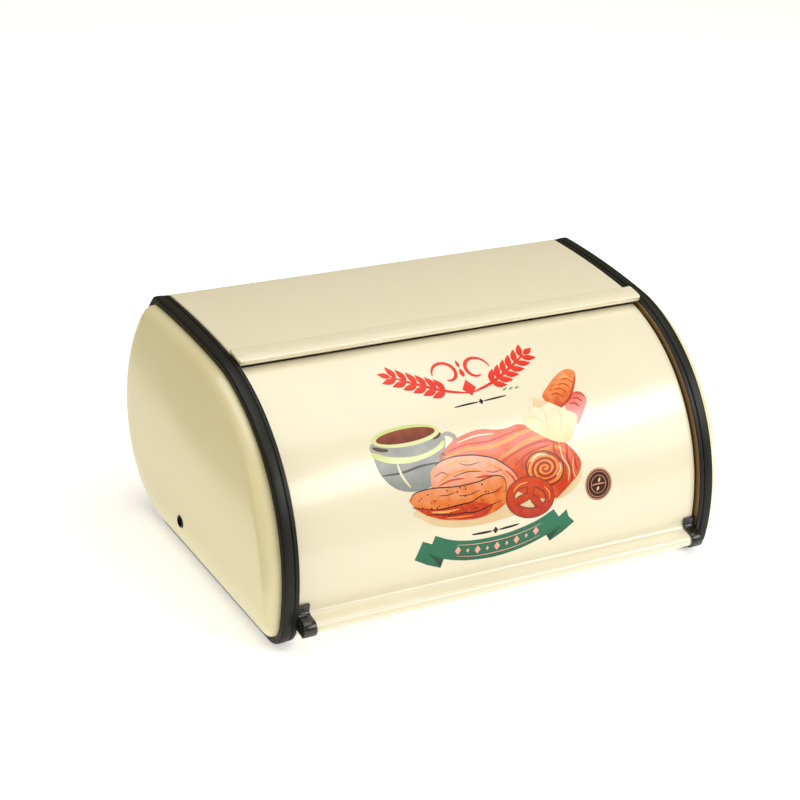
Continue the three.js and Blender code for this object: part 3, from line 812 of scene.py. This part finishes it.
def picture():
    tan = ink("tan", (226, 196, 150), (238, 216, 176))
    steel = ink("steel", (132, 138, 138), (170, 172, 166), noise=0.35)
    umber = ink("umber", (70, 56, 50), (88, 70, 60))
    lime = ink("lime", (226, 232, 176), (208, 220, 140))
    coffee = ink("coffee", (116, 50, 34), (150, 80, 56), noise=0.3, scale=160.0)
    crust = ink("crust", (204, 62, 30), (224, 128, 112), noise=0.45, middle=(226, 104, 58))
    peach = ink("peach", (232, 136, 88), (238, 182, 156), noise=0.35, scale=140.0)
    bake = ink("bake", (206, 76, 34), (234, 150, 104), noise=0.5, scale=140.0,
               middle=(230, 128, 62))
    ember = ink("ember", (184, 48, 24), (212, 78, 40), noise=0.5, scale=220.0)
    flame = ink("flame", (236, 120, 52), (244, 172, 96), noise=0.4, scale=160.0)
    rose = ink("rose", (232, 170, 168), (226, 110, 96), noise=0.2)
    paper = ink("paper", (222, 216, 160), (246, 240, 216), noise=0.3)
    salmon = ink("salmon", (240, 164, 148), (244, 176, 158))
    green = ink("green", (30, 100, 72), (42, 120, 88), noise=0.35)
    deep_green = ink("deep_green", (20, 64, 48), (28, 76, 56))
    scarlet = ink("scarlet", (222, 44, 24), (232, 62, 40))
    sage = ink("sage", (120, 150, 90), (150, 190, 150))
    char = ink("char", (30, 22, 20), (42, 32, 30))
    badge = ink("badge", (58, 28, 22), (72, 38, 30))
    bronze = ink("bronze", (186, 134, 106), (202, 150, 122))

    fill("bread_shadow", spline([(-66, 46), (-60, 40), (-52, 35), (-36, 31), (-16, 29.5), (4, 31),
         (24, 34), (42, 36), (52, 40.5), (58, 48), (50, 56), (10, 50), (-40, 50)]), 0, tan)

    # baguettes in a paper bag
    fill("far_baguette", spline([(56, 92), (60.2, 98.2), (66, 101), (71, 100), (73.4, 95), (69, 88),
         (61, 80)]), 0, rose)
    fill("near_baguette", spline([(42, 101), (49.5, 108.5), (58.4, 114.4), (66, 117.2), (71.4, 116),
         (72, 112), (67, 104), (60.4, 96), (50, 92)]), 1, bake)
    cuts = (0, 3.6, 7.2, 10.8)
    stroke("baguette_cuts", [
        mark(1.5, (47 + i, 103 + i * 0.78), (53 + i, 103.8 + i * 0.8), (57.4 + i, 100.4 + i * 0.75))
        for i in cuts
    ], 2, flame)
    stroke("baguette_shade", [
        mark(1.7, (52, 92.6), (60.6, 96.8), (67, 104.6), (71.4, 111.4)),
        *(mark(0.9, (48.6 + i, 101.6 + i * 0.78), (53.6 + i, 102 + i * 0.8), (57 + i, 99 + i * 0.75))
          for i in cuts)
    ], 3, ember)
    stroke("far_baguette_cuts", [
        mark(1.2, (60 + i, 94 + i), (64 + i, 93.4 + i), (66.6 + i, 90.8 + i))
        for i in (0, 3, 6)
    ], 1, ember)
    fill("bag", spline([(35.3, 101.6), (44.7, 97.4), (54, 91.4), (62.6, 85.4), (58, 77), (52.2, 70),
         (38, 74), (22.3, 86.6), (29, 93.6)]), 4, paper)
    fill("bag_fold", [(34.6, 102.4), (40, 100.2), (45, 97.2), (38, 94.6), (32.4, 96.4)], 5, tan)
    stroke("bag_creases", [
        mark(0.7, (36, 98), (40, 90), (38, 82)),
        mark(0.7, (50, 92), (50.6, 85), (47, 77)),
        mark(0.7, (28, 90.6), (34, 88), (37, 84))
    ], 5, tan)

    # cup of coffee
    stroke("cup_handle", [
        mark(3.2, (-38, 88.5), (-33, 89.6), (-28.6, 86.6), (-30.4, 82.6), (-37, 78))
    ], 0, steel)
    fill("cup", spline([(-85.4, 92), (-86.8, 84), (-85, 73.4), (-79, 64.8), (-71, 60), (-61, 58.4),
         (-51, 60), (-42.4, 69), (-37, 80), (-37, 91), (-60, 96)]), 1, steel)
    fill("cup_band", spline([(-86.8, 86.6), (-76, 82), (-59.2, 79.6), (-45, 81.8), (-36.9, 86),
         (-38.4, 81.4), (-50.8, 77.4), (-64.3, 76.2), (-77, 78.2), (-86.2, 82.8)]), 2, lime)
    stroke("cup_shade", [
        mark(1.5, (-84, 71.6), (-70, 71.2), (-56.4, 73), (-43, 73)),
        mark(2.4, (-86, 89.4), (-81, 87.2), (-75.6, 86)),
        mark(2.4, (-44, 88.2), (-40, 89.2), (-37.6, 90.8))
    ], 2, umber)
    stroke("cup_shine", [mark(1.6, (-72, 77), (-70.4, 69), (-66, 61.4))], 3, paper)
    fill("cup_rim", ellipse((-61.3, 92.9), 23.8, 6.6, lean=-0.6), 3, lime)
    fill("coffee", ellipse((-61.4, 93.1), 20.8, 4.4, lean=0.4), 4, coffee)

    # loaves
    fill("round_loaf", spline([(-42.7, 74.5), (-37.6, 80), (-29, 85), (-17.2, 87.8), (-8, 88.2),
         (2, 86.2), (10, 86), (18.5, 87), (31, 82.8), (40.2, 77), (49.2, 70), (56.1, 61.6),
         (58.4, 55.3), (55.5, 49), (49.2, 44), (42, 39), (36, 36.4), (20, 40), (0, 50),
         (-30, 60)]), 1, crust)
    stroke("loaf_plaits", [
        mark(2.6, (-40, 74.6), (-24, 77.6), (-8, 76.6), (6, 78), (18, 81), (30, 82.2)),
        mark(2.6, (-4, 66.4), (8, 71), (22, 75.6), (34, 76.4), (42, 73.6)),
        mark(2.2, (24, 67.6), (34, 69), (43, 68.2), (51, 62))
    ], 2, flame)
    stroke("loaf_folds", [
        mark(1.6, (-2, 64.6), (10, 69.4), (24, 72.8), (36, 73.4), (45, 69.4)),
        mark(1.1, (-36, 78.4), (-22, 80.6), (-6, 80), (10, 82.4), (24, 84.6)),
        mark(1.3, (10, 62), (18, 66.6), (28, 69.4), (37, 70)),
        mark(1.3, (36, 79.6), (41, 74.4), (40, 66), (46, 56), (45, 46)),
        mark(1.8, (50, 69), (48.6, 60), (51, 52), (49.6, 45)),
        mark(1.1, (54.6, 62), (54, 56), (55.6, 50))
    ], 3, ember)
    stroke("loaf_gleams", [
        mark(0.8, (44.6, 71.6), (45, 62), (48.6, 54), (47.4, 46)),
        mark(0.9, (-28, 82.6), (-14, 84.8), (0, 84)),
        mark(0.6, (53, 60), (51.6, 52), (53, 47))
    ], 3, paper)
    fill("middle_loaf", spline([(-51.2, 58), (-51.4, 65), (-49.3, 69.6), (-41.2, 73.4), (-32, 74.3),
         (-20.5, 73.3), (-14.3, 72), (-4.8, 68.6), (2.5, 63.3), (7.8, 57.9), (10.6, 51.6), (0, 46),
         (-20, 48), (-45, 52)]), 4, peach)
    stroke("middle_loaf_edge", [
        mark(0.8, (-47, 71.4), (-41, 73.8), (-32, 74.7), (-20.5, 73.8), (-12, 71.6), (-4.6, 68.9),
             (2.7, 63.6), (8.2, 58), (10.4, 53)),
        mark(0.45, (-49, 65), (-43, 66.6), (-39, 64.4)),
        mark(0.45, (-30, 70.4), (-24, 68), (-15, 68.4)),
        mark(0.45, (-12, 62), (-6, 60.6), (0, 61.4))
    ], 5, char)
    stroke("middle_loaf_crust", [
        mark(1.6, (-46, 61), (-36, 64.8), (-24, 65), (-14, 62)),
        mark(1.2, (-40, 69.6), (-32, 71.4), (-22, 70.6)),
        mark(1.4, (-10, 66.4), (-3, 62.6), (3, 57))
    ], 5, flame)
    stroke("middle_loaf_burn", [
        mark(1.3, (-47, 58.8), (-38, 60.8), (-28, 60.4)),
        mark(1.5, (-20, 59.4), (-10, 58.8), (-1, 55.6)),
        mark(1.2, (2, 60.4), (6.4, 55.4), (8.2, 51.4))
    ], 5, ember)
    crest = [(-65.6, 56.4), (-61.5, 57.9), (-50, 58.2), (-36, 56.6), (-20, 56.6), (-8, 58.4), (-1.4, 57),
             (1, 53), (0.4, 47)]
    fill("flat_loaf", spline([(-68.3, 53.4), *crest, (1.4, 42), (-4, 38), (-12.8, 35.2), (-22, 34.2),
         (-31, 35), (-41, 36.6), (-48.8, 38.8), (-59, 43.6), (-64.5, 48.4)]), 6, bake)
    fill("flat_loaf_crumb", spline([(-66.4, 49.4), (-56, 46), (-46.5, 44.7), (-35, 45), (-24, 45.4),
         (-17, 43), (-10, 40.6), (-14, 36.4), (-22, 35), (-31, 35.8), (-41, 37.4), (-48.8, 39.6),
         (-59, 44.2)]), 7, ember)
    stroke("flat_loaf_edge", [mark(0.7, (-68, 52.6), *crest)], 7, char)
    stroke("flat_loaf_cracks", [
        mark(0.7, (-67, 49.2), (-56, 46), (-46.5, 44.6), (-35, 45), (-24.8, 45.4), (-17, 48),
             (-8, 48.4), (-1, 51)),
        mark(0.7, (-58, 42.8), (-50, 41.8), (-39.7, 39.8), (-30, 39.4), (-21.8, 38.6), (-12, 40.6),
             (-3, 42.6)),
        mark(0.5, (-34, 50.6), (-26, 50), (-18, 51.6)),
        mark(0.5, (-48, 53), (-41, 52.4), (-36, 53.4)),
        mark(0.5, (-36, 62.4), (-26, 64), (-16, 62.6))
    ], 8, char)
    speck = np.random.default_rng(7).uniform((-62, 39.5, 0.35), (-8, 55.5, 0.6), (34, 3))
    for i, (x, v, size) in enumerate(speck):
        v += max(0, 46 - v) * (x < -48)
        fill(f"flat_loaf_speck_{i + 1}", ellipse((x, v), size, size, steps=8), 8, char)
    stroke("flat_loaf_glow", [
        mark(1.5, (-54, 44), (-44, 42.4), (-34, 42.6)),
        mark(1.1, (-44, 38.6), (-34, 37.4), (-24, 36.8))
    ], 9, flame)

    # cinnamon roll, its spiral wound from formula
    crumb = ellipse((31, 56.6), 14, 10.6, lean=-18)
    fill("roll", crumb, 4, flame)
    turn = np.linspace(0.9, 7 * math.pi, 120)
    spiral = np.column_stack([31 + turn * 0.6 * np.cos(turn), 56.6 + turn * 0.45 * np.sin(turn)])
    stroke("roll_spiral", [(spiral, 2.0, False)], 5, ember)
    stroke("roll_core", [(spiral + (0.5, 0.2), 0.6, False)], 6, coffee)
    stroke("roll_edge", [(crumb, 1.2, True)], 6, coffee)
    stroke("roll_gleams", [
        mark(1.0, (21, 62.4), (27, 65.6), (34, 65)),
        mark(0.9, (38.6, 50.6), (42, 54), (42.4, 58.6))
    ], 7, paper)

    # pretzel
    ring = ellipse((17.8, 40.4), 14.9, 9.9, lean=-12)
    inner = [open_line((20.4, 50.6), (18.6, 45.4), (18, 41.6)),
             open_line((18, 41.6), (11.6, 40.4), (4.4, 38.4)),
             open_line((18, 41.6), (22.6, 36.6), (26.6, 31.4))]
    for end, width, arm, layer, colour in (("_edge", 6.8, 5.6, 9, coffee), ("", 5.4, 4.4, 11, ember)):
        stroke(f"pretzel{end}", [(ring, width, True)], layer, colour)
        stroke(f"pretzel_arms{end}", [(line, arm, False) for line in inner], layer + 1, colour)
    stroke("pretzel_shine", [
        mark(1.0, (5.4, 46), (10, 49.4), (17, 50.4)),
        mark(1.0, (28.6, 45.6), (32, 41), (31.8, 36.4))
    ], 13, flame)

    # round seal, left blank but for rings and a sprig
    seal = (70, 39.6)
    fill("seal_rim", ellipse(seal, 10.4, 10.6), 0, bronze)
    fill("seal", ellipse(seal, 9.2, 9.4), 1, badge)
    stroke("seal_rings", [
        (ellipse(seal, 8.1, 8.3), 0.5, True),
        (ellipse(seal, 5.6, 5.7), 0.45, True),
        mark(1.0, (64.8, 39.6), (70, 39.9), (75.2, 39.6))
    ], 2, bronze)
    for side in (-1, 1):
        grain = leaf((70, 39.6 + side * 1.4), (70 + side * 1.5, 39.6 + side * 4.2), 1.6)
        fill(f"seal_grain_{side + 2}", grain, 2, tan)

    # ribbon with a row of diamonds
    fill("ribbon_left_tail", [(-61.3, 26.8), (-50, 21.8), (-46, 12.4), (-48.1, 6.6), (-57.8, 10.6),
         (-67.2, 15.8), (-64.6, 20.6)], 0, green)
    fill("ribbon_right_tail", [(33, 21), (38.8, 23.8), (44.8, 27.7), (46.4, 22.8), (50.9, 18.3),
         (42, 12.8), (32.7, 8.4), (29.8, 13.1)], 0, green)
    fill("ribbon_left_fold", [(-57.7, 18.5), (-46.1, 12.6), (-48.1, 6.6)], 1, deep_green)
    fill("ribbon_right_fold", [(29.8, 13.1), (40.3, 17.5), (32.7, 8.4)], 1, deep_green)
    top = open_line((-52.3, 28.8), (-40, 23.6), (-26.5, 20.8), (-13, 20.1), (0.5, 20.6), (12, 22.3),
                    (23, 24.8), (35, 29.5))
    foot = open_line((29.8, 13.1), (17, 9.3), (3.9, 6.9), (-11, 6.1), (-25.8, 7.3), (-36, 9.3),
                     (-46.1, 12.4), (-57.7, 18.5))
    fill("ribbon", np.concatenate([top, [(39, 23.8), (40.3, 17.5)], foot, [(-54.8, 23.7)]]), 2, green)
    for i in range(9):
        x = -36 + 7.2 * i
        v = 13.2 + 0.0042 * (x + 11) ** 2
        size = 2.8 if i % 2 == 0 else 1.5
        fill(f"ribbon_diamond_{i + 1}", [(x - size * 0.8, v), (x, v + size), (x + size * 0.8, v),
             (x, v - size)], 3, salmon)
    stroke("ribbon_lines", [
        mark(0.5, (-37, 19.6), (-24, 17.8), (-11, 17.2), (2, 17.6), (15, 19.4), (26, 22)),
        mark(0.5, (-37, 12.2), (-24, 9.8), (-11, 9.1), (2, 9.6), (14, 11.4), (25, 14.2))
    ], 3, salmon)

    # ornaments where the lid carries lettering: ears of wheat, rules and sprigs
    ears, middle = [], -6.5
    for side in (-1, 1):
        stem = open_line(*((middle + side * x, v)
                           for x, v in ((2, 113), (17, 117), (34, 125), (50, 134))))
        ears.append((stem, 2.2, False))
        turn = np.linspace(0, 1.6 * math.pi, 28)
        curl = np.column_stack([middle + side * (11 + (10 - turn) * np.cos(turn)),
                                129 + (10 - turn) * np.sin(turn)])
        ears.append((curl, 2.6, False))
        for i in range(6):
            at, ahead = stem[6 + 2 * i], stem[8 + 2 * i if i < 5 else -1]
            along = (ahead - at) / np.linalg.norm(ahead - at)
            across = np.array([-along[1], along[0]])
            for way in (-1, 1):
                foot = at + across * way * 0.8
                grain = leaf(foot, foot + along * 8.5 + across * way * 6.4, 4.6)
                fill(f"ear_{side + 2}_{i + 1}_{way + 2}", grain, 1, scarlet)
        tip = leaf(stem[-1] - (side, 0.5), stem[-1] + (side * 7, 3.4), 4.4)
        fill(f"ear_{side + 2}_tip", tip, 1, scarlet)
    stroke("ear_stems", ears, 0, scarlet)
    fill("ear_knot", [(-11.5, 116), (-6.5, 122.5), (-1.5, 116), (-6.5, 110.6)], 1, scarlet)
    for i, size in enumerate((3.4, 2.4)):
        bud = leaf((middle, 124.5 + 7.5 * i), (middle, 131.5 + 6.5 * i), size)
        fill(f"ear_bud_{i + 1}", bud, 1, scarlet)
    stroke("rules", [
        mark(1.2, (-22, 105), (-12, 105.6), (-4, 105.8)),
        mark(1.2, (0, 105.9), (8, 106.3), (17, 106.8)),
        mark(1.5, (-26, 24.4), (-17, 24), (-11, 24)),
        mark(1.5, (-6, 24), (1, 24.2), (9, 24.8))
    ], 0, char)
    fill("rule_diamond_1", [(-3.8, 105.8), (-2, 108), (-0.2, 105.9), (-2, 103.8)], 0, char)
    fill("rule_diamond_2", [(-10.6, 24), (-8.5, 26.4), (-6.4, 24), (-8.5, 21.8)], 0, char)
    for i in range(3):
        sprig = leaf((16 + 4.4 * i, 110.4), (20 + 4.4 * i, 112.2 - i * 0.4), 1.5)
        fill(f"sprig_leaf_{i + 1}", sprig, 0, sage)


picture()


# -------------------------------------------- studio, in metres
FLOOR_Z, SHADE_Z = -0.0002, 0.001
SHADE_RIGHT, SHADE_LEFT, SHADE_FRONT, SHADE_BACK = -0.247, -2.4, -0.8, 2.4


def studio_floor():
    bm = bmesh.new()
    bmesh.ops.create_grid(bm, x_segments=8, y_segments=8, size=6.0)
    mesh = bpy.data.meshes.new("studio_floor")
    bm.to_mesh(mesh)
    bm.free()
    floor = linked("studio_floor", mesh)
    floor.location.z = FLOOR_Z
    material, tree, shader = new_material("studio_paper", 0.9)
    varied(tree, shader, object_noise(tree, 3.0), (0.86, 0.86, 0.855), (0.88, 0.88, 0.875))
    shader.inputs["Emission Color"].default_value = (1, 1, 1, 1)
    shader.inputs["Emission Strength"].default_value = 0.5
    mesh.materials.append(material)


def table_edge():
    """Where the white table ends on the left. Only the glossy surfaces mirror it."""
    mesh = bpy.data.meshes.new("table_edge")
    mesh.from_pydata([(SHADE_RIGHT, SHADE_FRONT, 0), (SHADE_RIGHT, SHADE_BACK, 0),
                      (SHADE_LEFT, SHADE_BACK, 0), (SHADE_LEFT, SHADE_FRONT, 0)], [], [(0, 1, 2, 3)])
    edge = linked("table_edge", mesh)
    edge.location.z = SHADE_Z
    for ray in ("camera", "diffuse", "transmission", "volume_scatter", "shadow"):
        setattr(edge, f"visible_{ray}", False)
    material, tree, shader = new_material("table_shade", 0.9)
    varied(tree, shader, object_noise(tree, 4.0), (0.10, 0.08, 0.055), (0.12, 0.10, 0.07))
    mesh.materials.append(material)


def softbox(name, place, target, width, height, power, colour=(1.0, 1.0, 1.0)):
    data = bpy.data.lights.new(name, "AREA")
    data.shape, data.size, data.size_y = "RECTANGLE", width, height
    data.energy, data.color = power, colour
    light = linked(name, data)
    light.location = place
    light.rotation_euler = (Vector(target) - Vector(place)).to_track_quat("-Z", "Y").to_euler()


def studio_light():
    scene = bpy.context.scene
    world = bpy.data.worlds.new("studio")
    scene.world = world
    world.use_nodes = True
    world.node_tree.nodes["Background"].inputs["Color"].default_value = (1.0, 0.82, 0.5, 1)
    world.node_tree.nodes["Background"].inputs["Strength"].default_value = 0.2
    softbox("front_strip", (0.83, -1.09, 1.02), (0, -0.08, 0.1), 1.3, 0.4, 9.5)
    softbox("right_key", (1.3, -1.3, 1.0), (0, 0, 0.1), 0.75, 1.1, 6.0)
    softbox("top_fill", (0.1, 0.0, 2.0), (0, 0, 0.08), 2.0, 2.0, 28.0)
    softbox("left_strip", (-1.3, -0.3, 0.32), (-0.17, 0, 0.1), 0.22, 0.9, 1.5, (1.0, 0.75, 0.3))
    scene.view_settings.view_transform = "Standard"
    scene.view_settings.look = "None"


# The camera stands in front of the left-hand corner, looks down on the box, and is turned a
# little about its own line of sight.
CAMERA_AT = (-0.6989, -1.0479, 0.7236)
CAMERA_AZIMUTH, CAMERA_ELEVATION, CAMERA_ROLL = -32.78, 26.75, 5.97
CAMERA_LENS = 97.7


def camera():
    azimuth, elevation, roll = (math.radians(a) for a in
                                (CAMERA_AZIMUTH, CAMERA_ELEVATION, CAMERA_ROLL))
    back = Vector((math.sin(azimuth) * math.cos(elevation),
                   -math.cos(azimuth) * math.cos(elevation), math.sin(elevation)))
    right = Vector((math.cos(azimuth), math.sin(azimuth), 0.0))
    up = back.cross(right)
    level = Matrix((right, up, back)).transposed()
    data = bpy.data.cameras.new("camera")
    data.lens, data.sensor_width = CAMERA_LENS, 36.0
    data.clip_start, data.clip_end = 0.05, 50.0
    viewer = linked("camera", data)
    viewer.matrix_world = Matrix.Translation(CAMERA_AT) @ (level @ Matrix.Rotation(roll, 3, "Z")).to_4x4()
    bpy.context.scene.camera = viewer


studio_floor()
table_edge()
studio_light()
camera()
